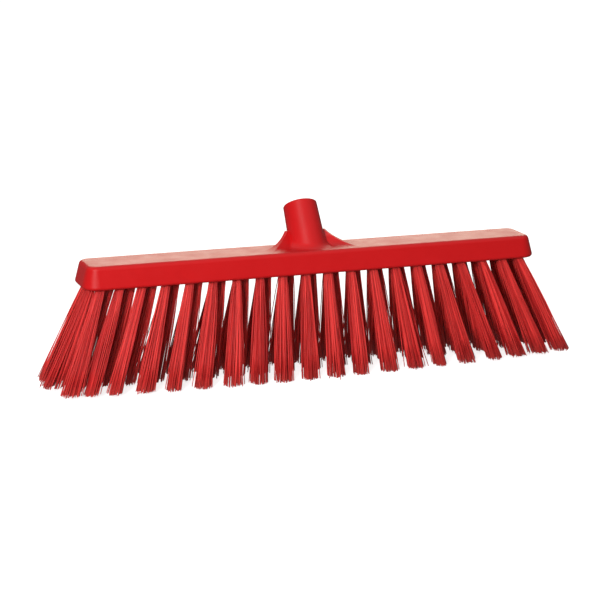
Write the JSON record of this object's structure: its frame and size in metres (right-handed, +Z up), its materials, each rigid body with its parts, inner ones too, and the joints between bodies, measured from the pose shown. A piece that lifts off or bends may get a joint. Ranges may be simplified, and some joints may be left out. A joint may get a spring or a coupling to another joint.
{
  "type": "push broom head",
  "caption": "Push broom head: moulded block with a leaning threaded handle socket and fanned rows of straight bristle tufts.",
  "frame": {"origin": "on the floor under the middle of the block, within the middle tuft's trimmed tip", "axes": "+Z up, +X along the block, +Y towards the side that the handle socket leans to; in use the head is pushed towards -Y"},
  "size_m": [0.6154, 0.1032, 0.1919],
  "materials": {
    "block": "semi-gloss moulded polypropylene",
    "bristle": "satin drawn polyester filament",
    "staple": "flat stainless wire"
  },
  "bodies": {
    "root": {"broom_block": "block", "front_tuft_01": "bristle", "front_tuft_02": "bristle", "front_tuft_03": "bristle", "front_tuft_04": "bristle", "front_tuft_05": "bristle", "front_tuft_06": "bristle", "front_tuft_07": "bristle", "front_tuft_08": "bristle", "front_tuft_09": "bristle", "front_tuft_10": "bristle", "front_tuft_11": "bristle", "front_tuft_12": "bristle", "front_tuft_13": "bristle", "front_tuft_14": "bristle", "front_tuft_15": "bristle", "front_tuft_16": "bristle", "front_tuft_17": "bristle", "front_tuft_18": "bristle", "front_tuft_19": "bristle", "front_tuft_20": "bristle", "rear_tuft_pair_01": "bristle", "rear_tuft_pair_02": "bristle", "rear_tuft_pair_03": "bristle", "rear_tuft_pair_04": "bristle", "rear_tuft_pair_05": "bristle", "rear_tuft_pair_06": "bristle", "rear_tuft_pair_07": "bristle", "rear_tuft_pair_08": "bristle", "rear_tuft_pair_09": "bristle", "rear_tuft_pair_10": "bristle", "rear_tuft_pair_11": "bristle", "rear_tuft_pair_12": "bristle", "rear_tuft_pair_13": "bristle", "rear_tuft_pair_14": "bristle", "rear_tuft_pair_15": "bristle", "rear_tuft_pair_16": "bristle", "rear_tuft_pair_17": "bristle", "rear_tuft_pair_18": "bristle", "rear_tuft_pair_19": "bristle", "rear_tuft_pair_20": "bristle", "rear_tuft_pair_21": "bristle", "anchor_staples_front": "staple", "anchor_staples_middle": "staple", "anchor_staples_back": "staple"}
  },
  "joints": []
}
